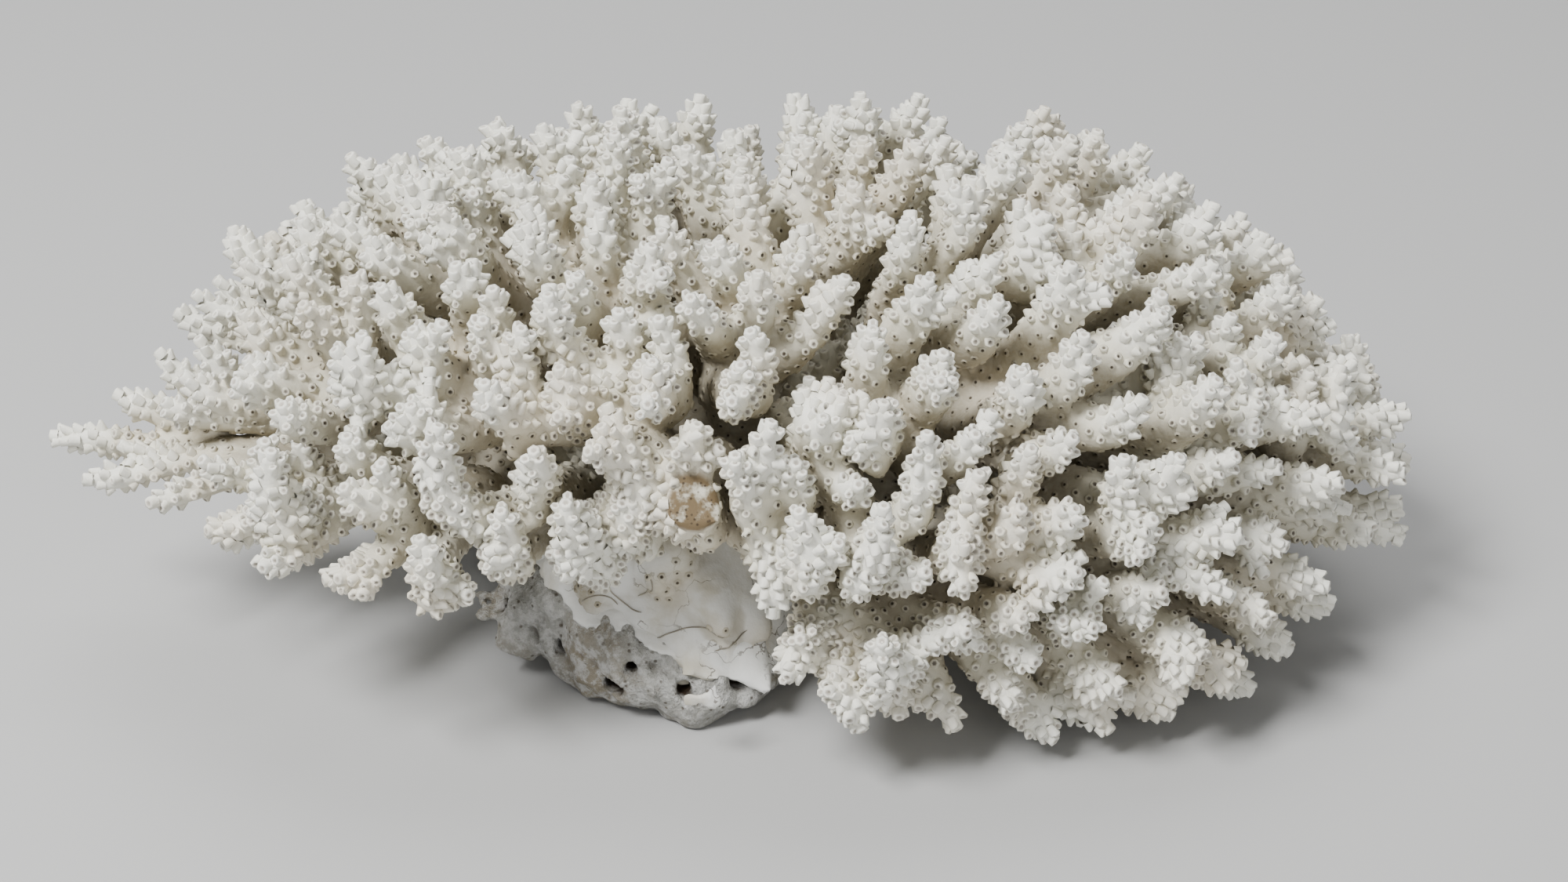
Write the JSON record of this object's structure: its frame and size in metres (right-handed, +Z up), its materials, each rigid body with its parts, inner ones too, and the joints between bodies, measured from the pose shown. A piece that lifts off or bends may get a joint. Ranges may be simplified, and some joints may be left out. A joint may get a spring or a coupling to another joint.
{
  "type": "branching stony coral colony on its base stone",
  "caption": "Bleached bush-shaped stony coral: a wide low dome of blunt fingers covered in small tubes, on a fused trunk that grows over a rough flat-cut stone.",
  "frame": {"origin": "centre of the flat cut face under the base stone, on the surface that it rests on", "axes": "+Z up, -Y towards the viewer of the picture, +X to the viewer's right along the colony's longest side"},
  "size_m": [0.2825, 0.1593, 0.1055],
  "materials": {
    "coral_finger": "matte, white skeleton",
    "coral_trunk": "matte, cream skeleton with a smooth white crust",
    "base_stone": "rough, grey and cream"
  },
  "bodies": {
    "root": {"base_stone": "base_stone", "trunk": "coral_trunk", "left_arm_low": "coral_finger", "left_arm_high": "coral_finger", "left_lobe_outer": "coral_finger", "left_lobe_middle": "coral_finger", "left_lobe_inner": "coral_finger", "front_left_limb": "coral_finger", "front_broken_stub": "coral_finger", "front_short_limb": "coral_finger", "front_middle_limb": "coral_finger", "front_hanging_limb": "coral_finger", "front_drop_limb": "coral_finger", "front_right_limb": "coral_finger", "skirt_limb_1": "coral_finger", "skirt_limb_2": "coral_finger", "skirt_limb_3": "coral_finger", "skirt_limb_4": "coral_finger", "skirt_limb_5": "coral_finger", "skirt_limb_6": "coral_finger", "rim_limb_front_right_1": "coral_finger", "rim_limb_front_right_2": "coral_finger", "rim_limb_right_1": "coral_finger", "rim_limb_right_2": "coral_finger", "rim_limb_right_3": "coral_finger", "rim_limb_back_1": "coral_finger", "rim_limb_back_2": "coral_finger", "rim_limb_back_3": "coral_finger", "rim_limb_back_4": "coral_finger", "rim_limb_back_5": "coral_finger", "under_limb_right": "coral_finger", "under_limb_back_1": "coral_finger", "under_limb_back_2": "coral_finger", "under_limb_back_3": "coral_finger", "shoulder_limb_left_1": "coral_finger", "shoulder_limb_left_2": "coral_finger", "shoulder_limb_front_1": "coral_finger", "shoulder_limb_front_2": "coral_finger", "shoulder_limb_front_3": "coral_finger", "shoulder_limb_front_4": "coral_finger", "shoulder_limb_right_1": "coral_finger", "shoulder_limb_right_2": "coral_finger", "shoulder_limb_right_3": "coral_finger", "shoulder_limb_back_1": "coral_finger", "shoulder_limb_back_2": "coral_finger", "shoulder_limb_back_3": "coral_finger", "shoulder_limb_back_4": "coral_finger", "shoulder_limb_back_5": "coral_finger", "crown_limb_left": "coral_finger", "crown_limb_front_1": "coral_finger", "crown_limb_front_2": "coral_finger", "crown_limb_front_3": "coral_finger", "crown_limb_right": "coral_finger", "crown_limb_back_1": "coral_finger", "crown_limb_back_2": "coral_finger", "crown_limb_back_3": "coral_finger", "crown_limb_back_4": "coral_finger", "crown_limb_top_left": "coral_finger", "crown_limb_top_back": "coral_finger", "crown_limb_top_right": "coral_finger"}
  },
  "joints": []
}
